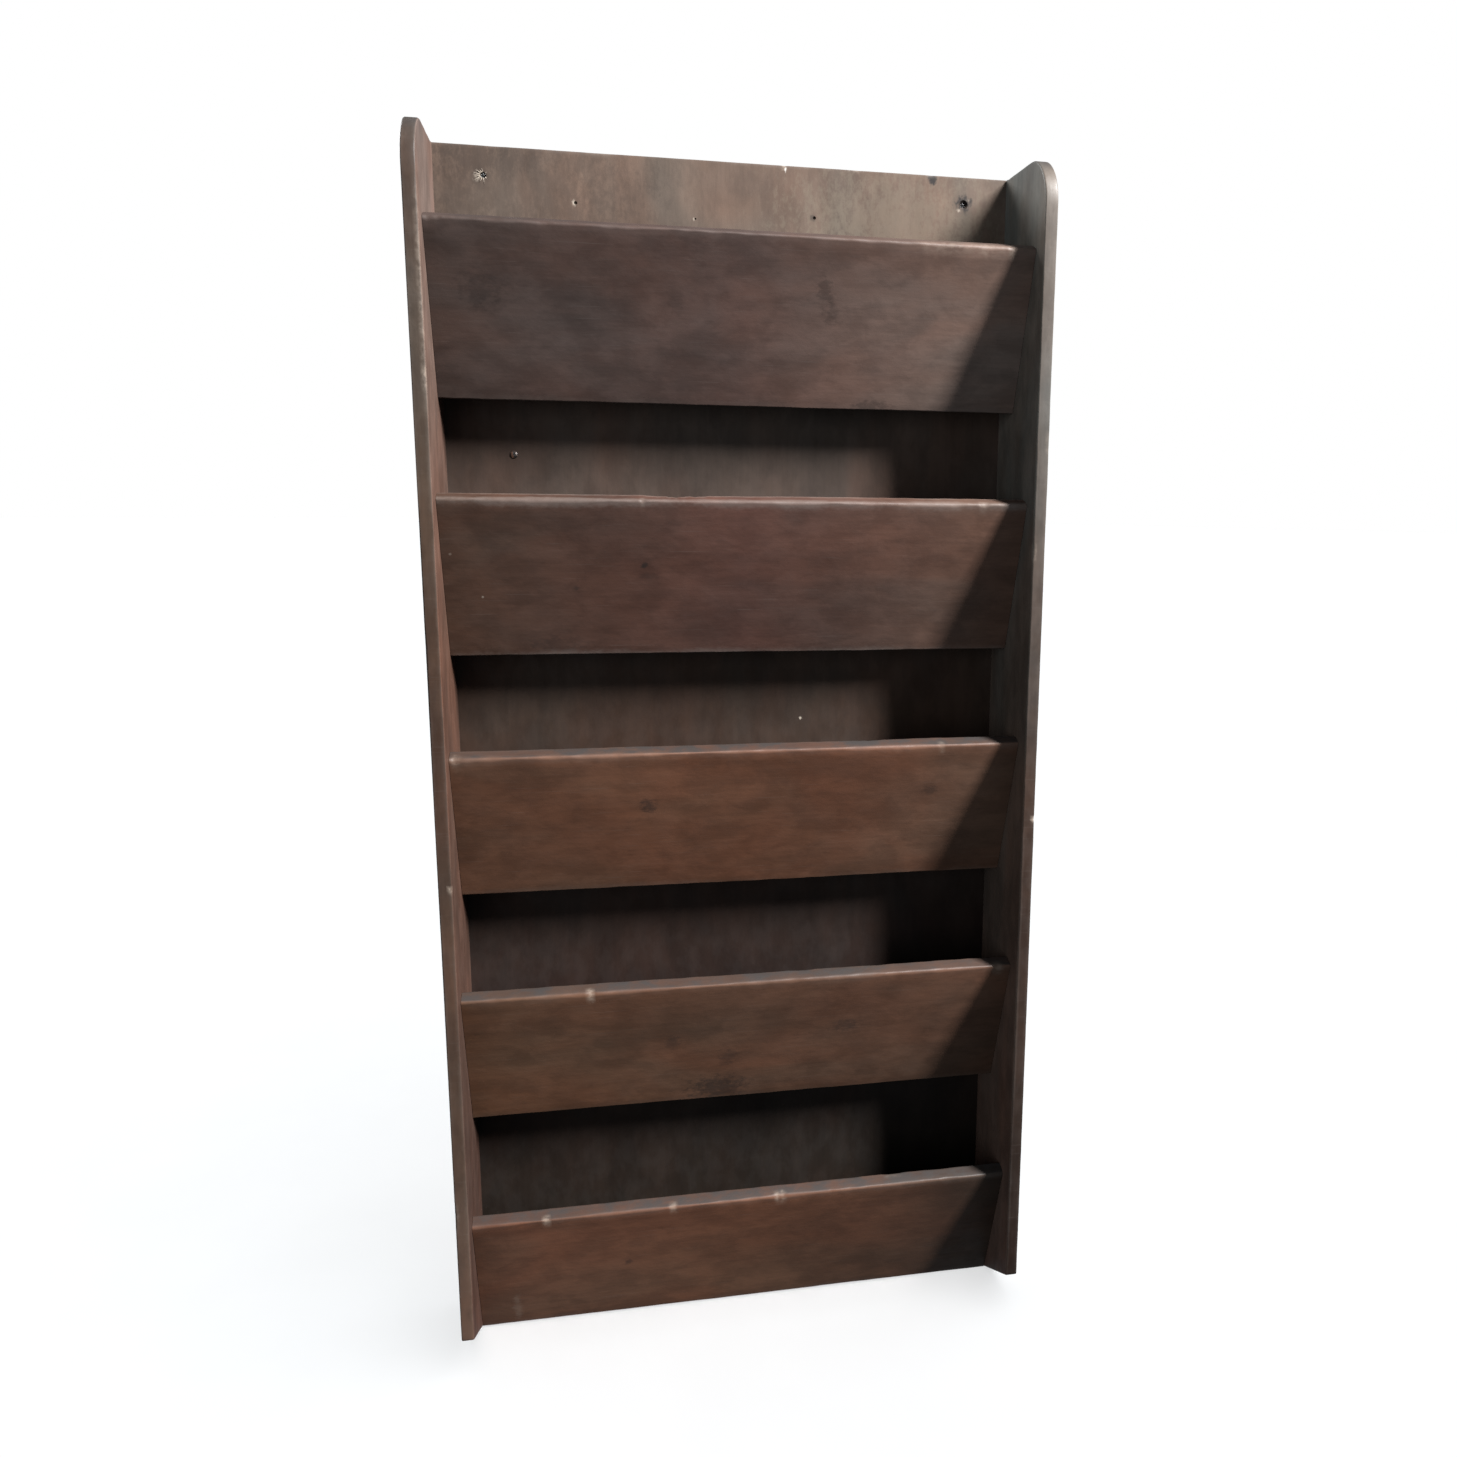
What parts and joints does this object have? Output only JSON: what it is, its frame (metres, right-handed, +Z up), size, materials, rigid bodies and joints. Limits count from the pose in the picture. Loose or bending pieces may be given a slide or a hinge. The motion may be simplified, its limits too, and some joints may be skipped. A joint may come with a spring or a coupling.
{
  "type": "magazine rack",
  "caption": "Wall rack of dark-stained boards: full-width pockets with tilted front slats between upright sides with rounded top corners, on a plywood back.",
  "frame": {"origin": "midway between the two wall-screw holes, on the back face that lies against the wall", "axes": "+X to the right seen from the front, +Y into the wall, +Z up"},
  "size_m": [0.56, 0.123, 1.15],
  "materials": {
    "stained_board": "dark brown stain on solid board, worn satin with pale rubbed arrises",
    "back_plywood": "brown stain on plywood with upright grain, matt",
    "screw_steel": "aged steel, dull",
    "nail_steel": "dark aged steel, dull"
  },
  "bodies": {
    "root": {"side_left": "stained_board", "side_right": "stained_board", "front_slat_1": "stained_board", "front_slat_2": "stained_board", "front_slat_3": "stained_board", "front_slat_4": "stained_board", "front_slat_5": "stained_board", "pocket_floor_1": "stained_board", "pocket_floor_2": "stained_board", "pocket_floor_3": "stained_board", "pocket_floor_4": "stained_board", "pocket_floor_5": "stained_board", "back_panel": "back_plywood", "slat_screws_left": "screw_steel", "slat_screws_right": "screw_steel", "floor_screws_left": "screw_steel", "floor_screws_right": "screw_steel", "back_screw": "screw_steel", "back_nails_left": "nail_steel", "back_nails_right": "nail_steel", "floor_nails": "nail_steel"}
  },
  "joints": []
}
